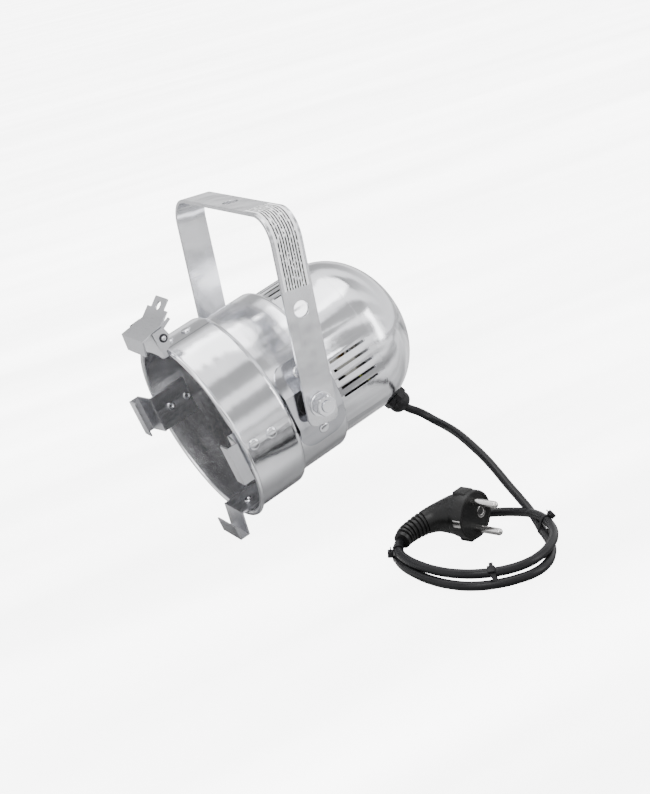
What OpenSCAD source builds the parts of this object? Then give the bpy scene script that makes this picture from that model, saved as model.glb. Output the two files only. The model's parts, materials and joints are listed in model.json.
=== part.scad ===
// Par can light: a spun three-step lamp housing that tilts in a flat hanging bail, with a
// colour-frame holder at the front, a ceramic lampholder inside and a mains lead with a plug.
// Origin: centre of the bail's hanging hole, on its top face. +X along the tilt axis,
// +Y towards the rear of the housing, +Z up along the bail's arms.

/* [Housing] */
// Outside radius of the front section
front_r = 67; // [66:0.1:68]
// Outside radius of the middle section
middle_r = 62.5; // [62:0.1:62.5]
// Outside radius of the rear section and its domed cap
rear_r = 58; // [58:0.1:58.2]
// Sheet thickness of the housing
wall = 0.8; // [0.7:0.05:0.9]
// Distance from the front rim to the end of the front section
front_len = 42; // [41:0.1:42]
// Distance from the front rim to the end of the middle section
middle_len = 82.5; // [82:0.1:83]
// Distance from the front rim to the joint with the rear cap
rear_len = 121; // [120:0.1:122]
// Depth of the domed rear cap
cap_depth = 47; // [44:0.5:50]
// Tilt of the housing, front downwards, at rest in the bail
rest_tilt = 13.7; // [5:0.1:20]

/* [Bail] */
// Height of the bail's top face over the tilt axis
bail_h = 131; // [130:0.5:140]
// Width over the outside of the arms
bail_w = 147; // [146:0.1:147]
// Width of the strip
strip_w = 22.5; // [20:0.5:25]
// Thickness of the strip
strip_t = 2.5; // [2.5:0.1:2.6]
// Outside radius of the two bends
bail_bend_r = 20; // [15:1:25]
// Diameter of the hanging hole and of the side hole
hang_d = 11; // [8:0.5:13]
// Height of the side hole over the tilt axis
side_hole_h = 66; // [50:1:90]

/* [Colour frame holder] */
// Width of a fixed clip
clip_w = 28; // [24:1:30]
// Distance from the housing's axis to the inside of a clip's wall
clip_reach = 79.5; // [79:0.1:80]
// Thickness of the clip sheet
clip_t = 1.2; // [1:0.1:1.3]

/* [Vents] */
// Slots in each of the four groups
vent_count = 5; // [3:1:6]
// Angle from slot to slot
vent_pitch = 6.7; // [6:0.1:8]
// Width of a slot
vent_w = 2; // [1.5:0.1:2.5]

/* [Mains lead] */
// Diameter of the lead
cord_d = 6; // [5.5:0.1:6]
// Mean radius of the loose coil
coil_r = 50.5; // [50:0.1:51]

/* [Hidden] */
$fn = 96;

// Tilt axis and its stack of parts, from the barrel's wall outwards
pivot_back = 61;
bolt_r = 4;
bolt_hole_r = 4.2;
nut_bore_r = 4.02;
pivot_bore_r = 4.05;
hex_af = 13;
hex_r = hex_af / 2 / cos(30);
head_in = middle_r - 6.6;
head_out = middle_r - 1.3;
plate_in = middle_r + 0.3;
plate_out = plate_in + 2;
arm_out = bail_w / 2;
arm_in = arm_out - strip_t;
side_gap = 0.05;
washer_t = 1.55;
nut_out = arm_out + side_gap + washer_t + 6.5;
lock_nut_t = 4;
arm_below = 14;
arm_corner_r = 6;

// Housing details
bead_r = 1.6;
shoulder_r = 4.5;
bead_mid_r = front_r + bead_r - 0.2;
collar_len = 6;
fit_gap = 0.02;
cap_steps = 24;
vent_from = middle_len + 2.9;
vent_len = 30.4;

// Rivets
rivet_r = 1.6;
rivet_hole_r = 1.65;
rivet_head_r = 4;
rivet_head_t = 1.4;
clip_rivet_back = [9.2, 23.3];
plate_rivet_psi = 20.4;
front_psi = [0, 180, -90, 90];

// Side plates
plate_len = 37;
plate_flat = 12.5;
foot_t = 1.6;
foot_in = middle_r + fit_gap;
foot_from = 17;
foot_to = 29.5;
plate_corner_r = 12;

// Top latch
hinge_back = 1.3;
hinge_up = 78;
hinge_pin_r = 1.6;
hinge_hole_r = 1.65;
ear_in = 18.3;
ear_t = 1.2;
star_r = 3;
lug_out = 16.8;
lug_r = 3.4;
spring_turns = 6;
spring_steps = 12;
spring_wire_r = 0.45;
spring_mean_r = 2.4;
// Side view of the gate's upper face, as height over the axis and distance behind the rim
lip_end = [71.7, -14];
front_fold = [82.8, -12.3];
rear_fold = [85.7, 5.3];
tab_end = [96.1, 19];

// Lampholder, on the housing's axis
socket_front = 116;
flange_t = 4;
flange_r = 28;
socket_r = 20;
socket_len = 40;
socket_bore_r = 14.6;
socket_depth = 31;
bar_t = 1.5;
bar_front = socket_front + flange_t;
bar_disc_r = 30;
bar_w = 24;
screw_out = 24.5;
screw_hole_r = 2.1;
earth_x = -40;
terminal_out = 7;
socket_rear = socket_front + socket_len;

// Cable gland on the dome
gland_psi = -70;
gland_t = 13;
gland_back = rear_len + gland_t;
gland_r = rear_r * sqrt(1 - pow(gland_t / cap_depth, 2));
gland_lean = atan2(gland_t / pow(cap_depth, 2), gland_r / pow(rear_r, 2));
gland_stem_r = 6;
gland_cap_r = 8.2;
gland_len = 13;
gland_base_t = 4.5;
cord_r = cord_d / 2;

// Loose coil and plug lie on the surface that the bottom clip just touches
surface = -227.2;
tie_t = 0.6;
cord_low = surface + tie_t;
coil_mid = [174, 41];
coil_half_w = 7;
coil_overlap = 0.5;
coil_h = 2 * cord_d - coil_overlap;
tie_w = 2.6;
tie_angles = [-22, 74, -127];
plug_r = 16.2;
grip_r = 18.2;
plug_mid = [156.5, 51.5, surface + grip_r + 0.3];
plug_turn = 18;
plug_len = 16;
grip_len = 6;
pin_gap = 19;
pin_len = 19;
pin_r = 2.4;
contact_w = 4.8;
contact_t = 1.8;

// Places that are fixed by the housing, for the lead and the wires
function from_rim(p) = [
    p.x,
    (p.y - pivot_back) * cos(rest_tilt) - p.z * sin(rest_tilt),
    (p.y - pivot_back) * sin(rest_tilt) + p.z * cos(rest_tilt) - bail_h];
function gland_rim(d) = [
    (gland_r + d * cos(gland_lean)) * cos(gland_psi),
    gland_back + d * sin(gland_lean),
    (gland_r + d * cos(gland_lean)) * sin(gland_psi)];

// Route of the lead from the gland down to the coil
lead_route = concat([from_rim(gland_rim(-9)), from_rim(gland_rim(13))], [
    [28, 98.5, -181],
    [36, 103.5, -186.5],
    [48, 105.5, -189.5],
    [64, 104.5, -191.5],
    [82, 102.5, -195],
    [101, 100, -199.5],
    [117, 97.5, -204.5],
    [132, 95, -210],
    [146, 93, -215],
    [158, 91, -219.2],
    [170, 88, -222],
    [181, 82.5, -223.4]]);
// Route of the lead's end from the coil up into the plug
tail_route = [
    [148, -2.5, -217.8],
    [142, -0.5, -217],
    [137.5, 4, -215.6],
    [134.5, 9, -214.2],
    [133, 15, -213]];
// Centre line of the plug's strain relief and shank, and its radius at each point
boot_route = [
    [136.5, 5.5, -215],
    [133.8, 11, -213.6],
    [132.8, 18, -212.4],
    [133, 27, -211],
    [135.5, 35, -209.8],
    [141.5, 42, -209]];
boot_radii = [5.4, 6, 6.6, 8.4, 10.6, 12];
// Wires inside the dome, behind the rim
wire_from = -10;
wire_live_route = [
    gland_rim(wire_from),
    [17, 134, -39],
    [15, 150, -27],
    [9.5, 158.5, -19.5],
    [7, 159, -9],
    [7, 159, -3]];
wire_neutral_route = [
    gland_rim(wire_from) + [-3, 0, 0],
    [11, 135, -38],
    [2, 150, -28],
    [-4, 158.5, -20.5],
    [-7, 159, -9],
    [-7, 159, -3]];
wire_earth_route = [
    gland_rim(wire_from) + [-1, -2.6, 0],
    [8, 128, -37],
    [-12, 126, -32],
    [-32, 125, -18],
    [-40, 124.5, -4]];

// ---- Shapes used by several parts ----

// Places children in the housing's frame: origin at the rim's centre, +Y to the rear
module on_can() {
    translate([0, 0, -bail_h]) rotate([rest_tilt, 0, 0]) translate([0, -pivot_back, 0]) children();
}

// Turns children so that their +X points outwards at the angle psi round the housing
module around(psi) {
    rotate([0, -psi, 0]) children();
}

// Places children on the dome at the gland, with +X along the outward normal
module at_gland() {
    around(gland_psi) translate([gland_r, gland_back, 0]) rotate([0, 0, gland_lean]) children();
}

// Places children on the tilt axis of both sides, with +X outwards
module both_sides() {
    for (side = [0, 180]) on_can() around(side) translate([0, pivot_back, 0]) children();
}

// Cylinder or ring along +X from one distance to another
module rod_x(from, to, r) {
    translate([from, 0, 0]) rotate([0, 90, 0]) cylinder(h = to - from, r = r);
}

module ring_x(from, to, r, bore) {
    difference() {
        rod_x(from, to, r);
        rod_x(from - 1, to + 1, bore);
    }
}

module hex_x(from, to, r) {
    translate([from, 0, 0]) rotate([0, 90, 0]) cylinder(h = to - from, r = r, $fn = 6);
}

// Turns a profile of radius and distance behind the rim round the housing's axis
module turned() {
    rotate([-90, 0, 0]) rotate_extrude() children();
}

// Extrudes a front view from one distance behind the rim, to the rear
module backwards(from, len) {
    translate([0, from + len, 0]) rotate([90, 0, 0]) linear_extrude(len) children();
}

module quarter_ring(ro, ri) {
    intersection() {
        difference() {
            circle(ro);
            circle(ri);
        }
        square(ro);
    }
}

module ring_sector(ro, ri, from, to) {
    intersection() {
        difference() {
            circle(ro);
            circle(ri);
        }
        polygon([[0, 0], 2 * ro * [cos(from), sin(from)], 2 * ro * [cos(to), sin(to)]]);
    }
}

// Rounded rectangle, centred
module rounded(w, h, r) {
    square([w - 2 * r, h], center = true);
    square([w, h - 2 * r], center = true);
    for (x = [-1, 1], y = [-1, 1]) translate([x * (w / 2 - r), y * (h / 2 - r)]) circle(r);
}

// Solid tube swept along a route, with a radius at each point
function unit(v) = v / norm(v);
function way(p, i) = unit(p[min(i + 1, len(p) - 1)] - p[max(i - 1, 0)]);
function ring_at(c, t, r, n) =
    let (u = unit(cross(t, abs(t.z) < 0.9 ? [0, 0, 1] : [1, 0, 0])), w = cross(u, t))
    [for (k = [0 : n - 1]) c + r * (cos(360 * k / n) * u + sin(360 * k / n) * w)];
module swept(p, radii, n) {
    rings = [for (i = [0 : len(p) - 1]) each ring_at(p[i], way(p, i), radii[i], n)];
    last = (len(p) - 1) * n;
    sides = [for (i = [0 : len(p) - 2], k = [0 : n - 1])
        let (a = i * n + k, b = i * n + (k + 1) % n) each [[a, b, b + n], [a, b + n, a + n]]];
    first_cap = [for (k = [n - 1 : -1 : 0]) k];
    last_cap = [for (k = [0 : n - 1]) last + k];
    polyhedron(rings, concat([first_cap], sides, [last_cap]));
}

module tube(p, r, n = 8) {
    swept(p, [for (q = p) r], n);
}

// ---- Bail ----

// Front view of the bail's outline, with its two bends; more lengthens it below the arms
module bail_outline(half_w, top, bend_r, more) {
    low = -bail_h - arm_below - more;
    translate([-half_w, low]) square([2 * half_w, top - bend_r - low]);
    translate([bend_r - half_w, top - 2 * bend_r]) square([2 * (half_w - bend_r), 2 * bend_r]);
    for (side = [-1, 1]) translate([side * (half_w - bend_r), top - bend_r]) circle(bend_r);
}

module bail() {
    color("gainsboro") difference() {
        intersection() {
            translate([0, strip_w / 2, 0]) rotate([90, 0, 0]) linear_extrude(strip_w) difference() {
                bail_outline(arm_out, 0, bail_bend_r, 0);
                bail_outline(arm_in, -strip_t, bail_bend_r - strip_t, 1);
            }
            // Rounded ends of the arms, seen along the tilt axis
            rotate([90, 0, 90]) linear_extrude(2 * bail_w, center = true) union() {
                translate([0, -(bail_h + arm_below) / 2])
                    rounded(strip_w, bail_h + arm_below, arm_corner_r);
                translate([-strip_w / 2, -bail_h / 2]) square([strip_w, bail_h / 2 + 1]);
            }
        }
        translate([0, 0, -2 * strip_t]) cylinder(h = 3 * strip_t, r = hang_d / 2);
        translate([0, 0, side_hole_h - bail_h]) rod_x(arm_in - 1, arm_out + 1, hang_d / 2);
        translate([0, 0, -bail_h]) rod_x(-bail_w, bail_w, pivot_bore_r);
    }
}

// ---- Housing ----

module barrel_profile() {
    translate([bead_mid_r, bead_r]) circle(bead_r);
    translate([front_r - wall, bead_r]) square([wall, front_len - shoulder_r - bead_r]);
    translate([middle_r, front_len - shoulder_r])
        quarter_ring(front_r - middle_r, front_r - middle_r - wall);
    translate([middle_r - wall, front_len - wall])
        square([wall, middle_len - shoulder_r - front_len + wall]);
    translate([rear_r, middle_len - shoulder_r])
        quarter_ring(middle_r - rear_r, middle_r - rear_r - wall);
    translate([rear_r - wall, middle_len - wall]) square([wall, rear_len - middle_len + wall]);
}

module barrel() {
    color("silver") on_can() difference() {
        turned() barrel_profile();
        for (group = front_psi, i = [0 : vent_count - 1])
            around(group + (i - (vent_count - 1) / 2) * vent_pitch)
                translate([rear_r - 3, vent_from, -vent_w / 2]) cube([6, vent_len, vent_w]);
        translate([0, pivot_back, 0]) rod_x(-front_r, front_r, bolt_hole_r);
        for (psi = front_psi, y = clip_rivet_back)
            around(psi) translate([0, y, 0]) rod_x(front_r - 4, front_r + 4, rivet_hole_r);
        for (side = [0, 180], lean = [-1, 1])
            around(side + lean * plate_rivet_psi) translate([0, pivot_back, 0])
                rod_x(middle_r - 4, middle_r + 4, rivet_hole_r);
    }
}

// Half of the dome's section; less is how far the wall lies inside the outer surface
module dome_half(less) {
    polygon(concat([[0, 0]], [for (i = [0 : cap_steps])
        [(rear_r - less) * cos(90 * i / cap_steps), (cap_depth - less) * sin(90 * i / cap_steps)]]));
}

module rear_cap() {
    color("silver") on_can() difference() {
        turned() {
            translate([0, rear_len]) difference() {
                dome_half(0);
                dome_half(wall);
            }
            translate([rear_r - 2 * wall - fit_gap, rear_len - collar_len])
                square([wall, collar_len + 1]);
        }
        at_gland() rod_x(-6, 6, gland_stem_r + 0.1);
    }
}

// ---- Side plates and the tilt pivots ----

module side_plate() {
    out_r = foot_in + foot_t;
    color("lightgray") on_can() intersection() {
        difference() {
            backwards(pivot_back - plate_len / 2, plate_len) {
                translate([plate_in, -plate_flat]) square([plate_out - plate_in, 2 * plate_flat]);
                for (side = [0, 1]) mirror([0, side]) {
                    polygon([
                        [plate_in, plate_flat - 0.5],
                        [plate_out, plate_flat - 0.5],
                        [plate_out, plate_flat],
                        out_r * [cos(foot_from + 0.3), sin(foot_from + 0.3)],
                        foot_in * [cos(foot_from + 0.3), sin(foot_from + 0.3)],
                        [plate_in, plate_flat]]);
                    ring_sector(out_r, foot_in, foot_from, foot_to);
                }
            }
            translate([0, pivot_back, 0]) rod_x(plate_in - 5, plate_out + 5, bolt_hole_r);
            for (lean = [-1, 1]) around(lean * plate_rivet_psi) translate([0, pivot_back, 0])
                rod_x(middle_r - 4, middle_r + 6, rivet_hole_r);
        }
        translate([0, pivot_back, 0]) rotate([0, 90, 0]) linear_extrude(2 * front_r)
            rounded(2 * out_r * sin(foot_to), plate_len, plate_corner_r);
    }
}

module plate_right() {
    side_plate();
}

module plate_left() {
    mirror([1, 0, 0]) side_plate();
}

module pivot_bolts() {
    color("gainsboro") both_sides() {
        hex_x(head_in, head_out, hex_r);
        rod_x(head_out - 0.5, nut_out + 1.4, bolt_r);
    }
}

module hex_nut_x(from, to) {
    difference() {
        hex_x(from, to, hex_r);
        rod_x(from - 1, to + 1, nut_bore_r);
    }
}

module lock_nuts() {
    color("silver") both_sides() hex_nut_x(plate_out, plate_out + lock_nut_t);
}

module friction_washers() {
    color("dimgray") both_sides()
        ring_x(plate_out + lock_nut_t + side_gap, arm_in - side_gap, 10, bolt_hole_r);
}

module pivot_washers() {
    color("gainsboro") both_sides()
        ring_x(arm_out + side_gap, arm_out + side_gap + washer_t, 8.5, bolt_hole_r);
}

module pivot_nuts() {
    color("gainsboro") both_sides() hex_nut_x(arm_out + side_gap + washer_t, nut_out);
}

// ---- Colour frame holder ----

// Curved tab inside the front section, which the rivets hold
module inner_tab(tab_w) {
    tab_out = front_r - wall - fit_gap;
    half = asin(tab_w / 2 / tab_out);
    difference() {
        backwards(-3.4, 29.4) ring_sector(tab_out, tab_out - clip_t, -half, half);
        for (y = clip_rivet_back) translate([0, y, 0]) rod_x(tab_out - 4, tab_out + 4, rivet_hole_r);
    }
}

module clip() {
    wall_out = clip_reach + clip_t;
    lip_front = -13.2;
    color("silver") {
        inner_tab(clip_w);
        linear_extrude(clip_w, center = true) polygon([
            [front_r - 3.6, -2.6],
            [wall_out, -5.4],
            [wall_out, lip_front],
            [clip_reach - 9.5, lip_front],
            [clip_reach - 9.5, lip_front + clip_t],
            [clip_reach, lip_front + clip_t],
            [clip_reach, -6.4],
            [front_r - 3.6, -3.8]]);
    }
}

module clip_right() {
    on_can() clip();
}

module clip_left() {
    on_can() around(180) clip();
}

module clip_bottom() {
    on_can() around(-90) clip();
}

// Pan-shaped head that stands on the plane x = 0
module rivet_head(r, t) {
    rotate([0, 90, 0]) rotate_extrude() {
        square([r - t, t]);
        square([r, 0.4]);
        intersection() {
            translate([r - t, 0]) circle(t);
            square([r, t]);
        }
    }
}

// Rivet through the wall: in_x and out_x are the faces that its heads bear on
module rivet(in_x, out_x) {
    rod_x(in_x - 0.2, out_x + 0.2, rivet_r);
    translate([out_x, 0, 0]) rivet_head(rivet_head_r, rivet_head_t);
    difference() {
        rod_x(in_x - 1, in_x, 3);
        rod_x(in_x - 2, in_x - 0.4, 1);
    }
}

module clip_rivets() {
    color("gainsboro") on_can() for (psi = front_psi, y = clip_rivet_back) around(psi)
        translate([0, y, 0]) rivet(front_r - wall - 2 * fit_gap - clip_t - 0.06, front_r + fit_gap);
}

module plate_rivets() {
    color("gainsboro") on_can() for (side = [0, 180], lean = [-1, 1])
        around(side + lean * plate_rivet_psi) translate([0, pivot_back, 0])
            rivet(middle_r - wall - 0.1, foot_in + foot_t + fit_gap);
}

// ---- Top latch of the colour frame holder ----

// Riveted tab inside the housing, front wall and two ears that hold the hinge pin
module latch_bracket() {
    wall_front = -3.8;
    wall_foot = front_r - 1.6;
    neck = wall_foot + 5;
    color("silver") on_can() around(90) {
        inner_tab(clip_w);
        translate([0, wall_front + clip_t, 0]) rotate([90, 0, 0]) linear_extrude(clip_t) {
            translate([wall_foot, -ear_in - ear_t]) square([neck - wall_foot, 2 * (ear_in + ear_t)]);
            polygon([[neck - 1, -17.5], [82.2, -14.4], [82.2, 14.4], [neck - 1, 17.5]]);
        }
        for (side = [0, 1]) mirror([0, 0, side]) translate([0, 0, ear_in]) difference() {
            linear_extrude(ear_t) polygon([
                [wall_foot, wall_front],
                [84, wall_front - 0.4],
                [84.6, 4.4],
                [79, 6],
                [71, 3.4],
                [69.2, -0.8],
                [wall_foot, -0.8]]);
            translate([hinge_up, hinge_back, -1]) cylinder(h = ear_t + 2, r = hinge_pin_r + fit_gap);
        }
    }
}

// Lays a flat shape of the sheet along the line between two points of the gate's side view:
// its +X runs from one point to the other and +Y across the gate, and the sheet lies below
module laid(from, to) {
    translate([from.x, from.y, 0]) rotate([0, 0, atan2(to.y - from.y, to.x - from.x)])
        rotate([-90, 0, 0]) linear_extrude(clip_t) children();
}

module latch_gate() {
    lip = norm(front_fold - lip_end);
    plate = norm(rear_fold - front_fold);
    tab = norm(tab_end - rear_fold);
    color("silver") on_can() around(90) {
        laid(lip_end, front_fold) polygon([[0, -15.4], [lip, -17.8], [lip, 17.8], [0, 15.4]]);
        laid(front_fold, rear_fold)
            polygon([[0, -17.8], [plate + 0.6, -16.2], [plate + 0.6, 16.2], [0, 17.8]]);
        laid(rear_fold, tab_end) difference() {
            union() {
                translate([0, -15.7]) square([9.2, 31.4]);
                translate([0, -8.5]) square([tab, 17]);
                translate([0, -9.5]) square([tab - 1, 19]);
                for (side = [-1, 1]) translate([tab - 1, side * 8.5]) circle(1);
            }
            translate([11.1, 0]) circle(3.1);
        }
        // Side lugs, which turn on the hinge pin
        for (side = [0, 1]) mirror([0, 0, side]) translate([0, 0, lug_out - clip_t]) difference() {
            linear_extrude(clip_t) {
                translate([hinge_up, hinge_back]) circle(lug_r);
                polygon([
                    [hinge_up, hinge_back - lug_r],
                    [84, hinge_back - lug_r],
                    [85.4, 5.3],
                    [87.4, 11.6],
                    [85.7, 12.4],
                    [82, hinge_back + lug_r],
                    [hinge_up, hinge_back + lug_r]]);
            }
            translate([hinge_up, hinge_back, -1]) cylinder(h = clip_t + 2, r = hinge_hole_r);
        }
    }
}

module latch_pin() {
    half = ear_in + ear_t + 1;
    color("gainsboro") on_can() around(90) translate([hinge_up, hinge_back, 0]) {
        translate([0, 0, -half]) cylinder(h = 2 * half, r = hinge_pin_r);
        for (side = [0, 1]) mirror([0, 0, side]) translate([0, 0, half - 0.6]) rotate([0, -90, 0])
            rivet_head(hinge_pin_r, 1.3);
    }
}

module latch_washers() {
    color("dimgray") on_can() around(90) for (side = [0, 1]) mirror([0, 0, side])
        translate([hinge_up, hinge_back, ear_in + ear_t + fit_gap]) difference() {
            cylinder(h = 0.5, r = star_r);
            translate([0, 0, -1]) cylinder(h = 3, r = hinge_pin_r + fit_gap);
        }
}

// Closely wound torsion spring, with one leg on the bracket and one under the gate
module latch_spring() {
    pitch = 2.2 * spring_wire_r;
    half_w = pitch * spring_turns / 2;
    coil = [for (i = [0 : spring_turns * spring_steps]) [
        hinge_up + spring_mean_r * cos(360 * i / spring_steps - 90),
        hinge_back + spring_mean_r * sin(360 * i / spring_steps - 90),
        pitch * i / spring_steps - half_w]];
    leg_back = hinge_back - spring_mean_r;
    color("slategray") on_can() around(90) tube(concat(
        [[hinge_up - 5.5, leg_back - 0.9, -half_w], [hinge_up - 4, leg_back, -half_w]],
        coil,
        [[hinge_up + 4.8, leg_back, half_w]]), spring_wire_r, 6);
}

// ---- Lampholder and wiring ----

module axial(from) {
    translate([0, from, 0]) rotate([-90, 0, 0]) children();
}

module lampholder() {
    color("ivory") on_can() difference() {
        union() {
            axial(socket_front) cylinder(h = flange_t, r = flange_r);
            axial(socket_front + 1) cylinder(h = socket_len - 1, r = socket_r);
        }
        axial(socket_front - 1) cylinder(h = socket_depth + 1, r = socket_bore_r);
        for (side = [-1, 1]) translate([side * screw_out, 0, 0])
            axial(socket_front - 1) cylinder(h = 8, r = screw_hole_r);
    }
}

module thread_shell() {
    color("goldenrod") on_can() axial(socket_front + 2) difference() {
        cylinder(h = 22, r = socket_bore_r - fit_gap);
        translate([0, 0, -1]) cylinder(h = 24, r = 13.6);
    }
}

module centre_contact() {
    color("goldenrod") on_can() axial(socket_front + socket_depth - 3) {
        cylinder(h = 3, r = 3.5);
        translate([0, 0, 1.8]) cylinder(h = 1.2, r = 7);
    }
}

module holder_bar() {
    tab_out = rear_r - 2 * wall - 2 * fit_gap;
    color("silver") on_can() difference() {
        union() {
            backwards(bar_front, bar_t) {
                circle(bar_disc_r);
                intersection() {
                    square([2 * tab_out, bar_w], center = true);
                    circle(tab_out);
                }
            }
            for (side = [0, 180]) around(side) backwards(rear_len - collar_len - 0.5, 7)
                ring_sector(tab_out, tab_out - 1.2, -12, 12);
        }
        axial(bar_front - 1) cylinder(h = 4, r = socket_r + 0.3);
        for (x = [-screw_out, screw_out, earth_x]) translate([x, 0, 0])
            axial(bar_front - 1) cylinder(h = 4, r = screw_hole_r);
    }
}

// Small screw with a round head in front and a hexagon nut behind
module small_screw(front, through, rear) {
    axial(front - 2) cylinder(h = 2, r = 3.2);
    axial(front - 0.5) cylinder(h = rear - front + 1.5, r = 2);
    axial(front + through + fit_gap) rotate([0, 0, 30]) cylinder(h = 3, r = 4.04, $fn = 6);
}

module holder_screws() {
    color("gainsboro") on_can() for (side = [-1, 1]) translate([side * screw_out, 0, 0])
        small_screw(socket_front, flange_t + bar_t, bar_front + 6);
}

module holder_terminals() {
    color("goldenrod") on_can() for (side = [-1, 1])
        translate([side * terminal_out - 3, socket_rear, -3]) cube([6, 5, 6]);
}

module earth_screw() {
    color("gainsboro") on_can() translate([earth_x, 0, 0]) small_screw(bar_front, bar_t, bar_front + 6);
}

module wire_live() {
    color("saddlebrown") on_can() tube(wire_live_route, 1.2);
}

module wire_neutral() {
    color("royalblue") on_can() tube(wire_neutral_route, 1.2);
}

module wire_earth() {
    color("yellowgreen") on_can() tube(wire_earth_route, 1.2);
}

// ---- Cable gland, lead and plug ----

module gland_body() {
    color("#202020") on_can() at_gland() difference() {
        union() {
            rod_x(-7, 1, gland_stem_r);
            hex_x(fit_gap, gland_base_t, gland_cap_r / cos(30));
            rotate([0, 90, 0]) rotate_extrude() {
                translate([0, gland_base_t - 0.5]) square([gland_cap_r, 3.5]);
                square([gland_cap_r - 5, gland_len]);
                intersection() {
                    translate([gland_cap_r - 6, gland_base_t + 2.5]) circle(6);
                    square([gland_cap_r, gland_len]);
                }
            }
        }
        rod_x(-8, gland_len + 1, cord_r + 0.1);
    }
}

module gland_nut() {
    color("#202020") on_can() at_gland() difference() {
        hex_x(-4.6, -1.62, 8.7);
        rod_x(-6, 0, gland_stem_r + fit_gap);
    }
}

module cord_lead() {
    color("#181818") tube(lead_route, cord_r, 10);
}

// Outer shape of the coil: the lower turn all round, the upper turn over its front part
module coil_section(half_w) {
    translate([coil_r - half_w + cord_r, 0]) square([2 * (half_w - cord_r), cord_d]);
    for (side = [-1, 1]) translate([coil_r + side * (half_w - cord_r), cord_r]) circle(cord_r);
}

module cord_coil() {
    color("#181818") translate([coil_mid.x, coil_mid.y, cord_low]) {
        rotate_extrude() coil_section(coil_half_w);
        translate([0, 0, cord_d - coil_overlap]) rotate([0, 0, -132])
            rotate_extrude(angle = 232) coil_section(coil_half_w);
    }
}

module cord_tail() {
    color("#181818") tube(tail_route, cord_r, 10);
}

// Places children at the plug's face, with +X along its pins
module at_plug() {
    translate(plug_mid) rotate([0, 0, plug_turn]) children();
}

// Round body with two grip ribs, and a shank that turns down into the strain relief
module plug_body() {
    color("#1c1c1c") {
        at_plug() difference() {
            union() {
                rod_x(-plug_len, 0, plug_r);
                translate([-plug_len, -5, -grip_r]) cube([grip_len, 10, 2 * grip_r]);
            }
            for (side = [-1, 1]) translate([-9, side * (plug_r - 1) - 1, -3]) cube([10, 2, 6]);
        }
        swept(boot_route, boot_radii, 12);
    }
}

module plug_pins() {
    color("gainsboro") at_plug() for (side = [-1, 1]) translate([0, 0, side * pin_gap / 2]) {
        rod_x(-5, pin_len - pin_r, pin_r);
        translate([pin_len - pin_r, 0, 0]) rivet_head(pin_r, pin_r - 0.1);
    }
}

module plug_earth_contacts() {
    color("silver") at_plug() for (side = [-1, 1])
        translate([-8.8, side * (plug_r - 1) - contact_t / 2, -contact_w / 2])
            cube([8.4, contact_t, contact_w]);
}

// Tie at an angle round the coil: a band about the turns and its lock on the outer side
module cable_tie(angle) {
    low = cord_low - tie_t;
    tie_h = coil_h + 2 * tie_t;
    tie_half_w = coil_half_w + tie_t;
    translate([coil_mid.x, coil_mid.y, 0]) rotate([0, 0, angle]) translate([coil_r, 0, low]) {
        difference() {
            translate([-tie_half_w, -tie_w / 2, 0]) cube([2 * tie_half_w, tie_w, tie_h]);
            translate([-coil_half_w - 0.05, -tie_w, tie_t - 0.05])
                cube([2 * coil_half_w + 0.1, 2 * tie_w, coil_h + 0.1]);
        }
        translate([tie_half_w - 0.1, -2, tie_h - 4.5]) cube([3, 4, 3.6]);
    }
}

module cable_ties() {
    color("#202020") for (angle = tie_angles) cable_tie(angle);
}

bail();
barrel();
rear_cap();
plate_right();
plate_left();
pivot_bolts();
lock_nuts();
friction_washers();
pivot_washers();
pivot_nuts();
clip_right();
clip_left();
clip_bottom();
clip_rivets();
plate_rivets();
latch_bracket();
latch_gate();
latch_pin();
latch_washers();
latch_spring();
lampholder();
thread_shell();
centre_contact();
holder_bar();
holder_screws();
holder_terminals();
earth_screw();
wire_live();
wire_neutral();
wire_earth();
gland_body();
gland_nut();
cord_lead();
cord_coil();
cord_tail();
plug_body();
plug_pins();
plug_earth_contacts();
cable_ties();
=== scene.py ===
import json
import math

import bmesh
import bpy
from mathutils import Matrix, Vector


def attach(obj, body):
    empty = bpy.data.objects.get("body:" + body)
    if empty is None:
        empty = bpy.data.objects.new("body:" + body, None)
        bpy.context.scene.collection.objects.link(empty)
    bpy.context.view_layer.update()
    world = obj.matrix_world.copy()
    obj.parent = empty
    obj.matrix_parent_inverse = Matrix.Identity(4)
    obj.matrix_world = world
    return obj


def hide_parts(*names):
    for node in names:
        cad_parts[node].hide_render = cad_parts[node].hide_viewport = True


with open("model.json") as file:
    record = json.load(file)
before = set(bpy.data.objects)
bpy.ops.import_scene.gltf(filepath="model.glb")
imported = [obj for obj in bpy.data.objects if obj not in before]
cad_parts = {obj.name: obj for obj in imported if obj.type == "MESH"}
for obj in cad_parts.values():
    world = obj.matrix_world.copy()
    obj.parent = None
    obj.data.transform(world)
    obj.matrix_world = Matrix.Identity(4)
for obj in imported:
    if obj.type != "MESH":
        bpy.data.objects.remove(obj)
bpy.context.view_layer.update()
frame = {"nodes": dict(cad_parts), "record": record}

MM = 0.001

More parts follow.
